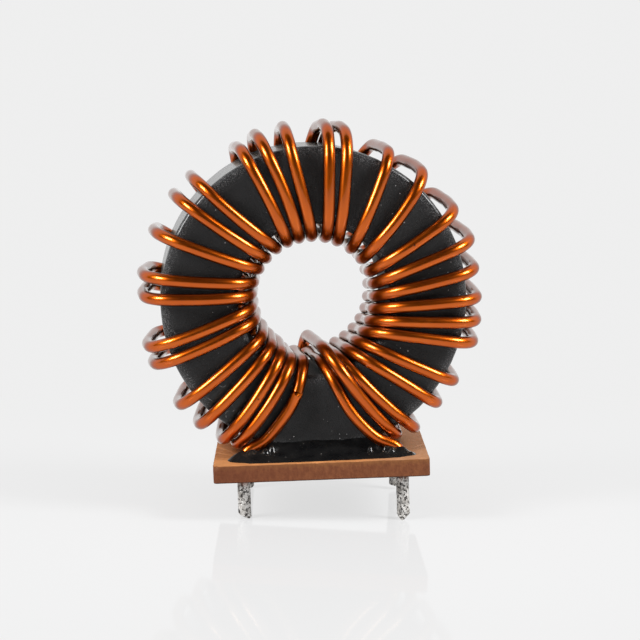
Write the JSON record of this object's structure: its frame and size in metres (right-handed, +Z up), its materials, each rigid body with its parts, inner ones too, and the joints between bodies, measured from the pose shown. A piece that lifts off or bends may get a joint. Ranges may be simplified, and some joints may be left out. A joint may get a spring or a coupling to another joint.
{
  "type": "toroidal inductor",
  "caption": "Vertical toroidal choke: a coated powder ring wound with heavy enamelled copper wire, glued on edge to a small laminate base with solder-dipped leads.",
  "frame": {"origin": "middle of the board's underside", "axes": "+Z up from the board towards the ring, +Y to the back, near the ring's axis, +X to the right as seen from the front"},
  "size_m": [0.0543, 0.0322, 0.0622],
  "materials": {
    "core_coat": "charcoal coat, fine grain, half matt",
    "enamelled_copper": "clear glossy enamel over copper",
    "laminate": "sawn paper laminate, dull",
    "resin": "glossy black, poured",
    "solder": "mottled dipped tin"
  },
  "bodies": {
    "root": {"core": "core_coat", "winding_wire_a": "enamelled_copper", "winding_wire_b": "enamelled_copper", "base_board": "laminate", "adhesive": "resin", "solder_tip_front_left": "solder", "solder_tip_front_right": "solder", "solder_tip_back_left": "solder", "solder_tip_back_right": "solder"}
  },
  "joints": []
}
